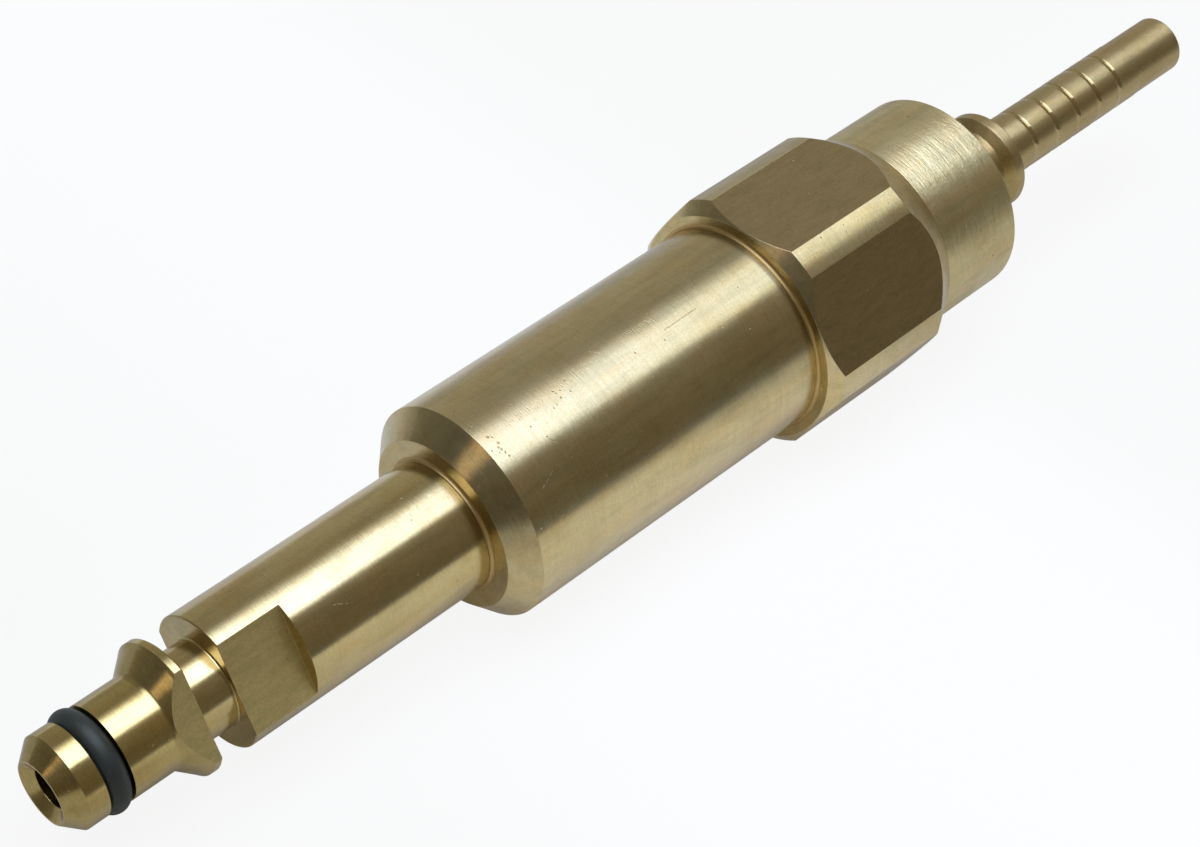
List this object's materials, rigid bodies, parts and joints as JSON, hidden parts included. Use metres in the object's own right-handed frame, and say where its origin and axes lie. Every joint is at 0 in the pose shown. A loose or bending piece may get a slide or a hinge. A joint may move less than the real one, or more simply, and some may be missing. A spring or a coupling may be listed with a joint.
{
  "type": "quick coupling nipple",
  "caption": "Brass quick coupling nipple: sealed plug nose, locking collar, wrench flats, valve barrel, hexagon and grooved hose tail.",
  "frame": {"origin": "centre of the face at the tip of the plug nose", "axes": "+X along the nipple's axis from the tip toward the hose end, +Z out of one flat of the hexagon, +Y completes a right-handed frame"},
  "size_m": [0.1616, 0.0284, 0.026],
  "materials": {
    "stem_brass": "satin, fine turning marks round the axis",
    "body_brass": "satin, fine turning marks, milled flats",
    "tail_brass": "satin, coarse turning marks on the head",
    "inner_brass": "as turned",
    "nose_rubber": "smooth, slightly greased",
    "seal_rubber": "smooth",
    "stainless": "bright drawn"
  },
  "bodies": {
    "nipple": {"plug_stem": "stem_brass", "nose_o_ring": "nose_rubber", "stem_o_ring": "seal_rubber", "valve_body": "body_brass", "spring_guide": "inner_brass", "valve_spring": "stainless", "valve_cage": "inner_brass", "valve_seat": "inner_brass", "seat_o_ring": "seal_rubber", "strainer": "stainless", "strainer_rim": "stainless", "hose_tail": "tail_brass", "tail_o_ring": "seal_rubber"},
    "poppet": {"poppet": "inner_brass", "poppet_seal": "seal_rubber"}
  },
  "joints": [
    {"name": "poppet_lift", "type": "slide", "parent": "nipple", "child": "poppet", "axis": [-1, 0, 0], "range_m": [0, 0.003], "stiffness_N_per_m": 300, "springref_m": -0.004, "deforming": ["valve_spring"]}
  ]
}
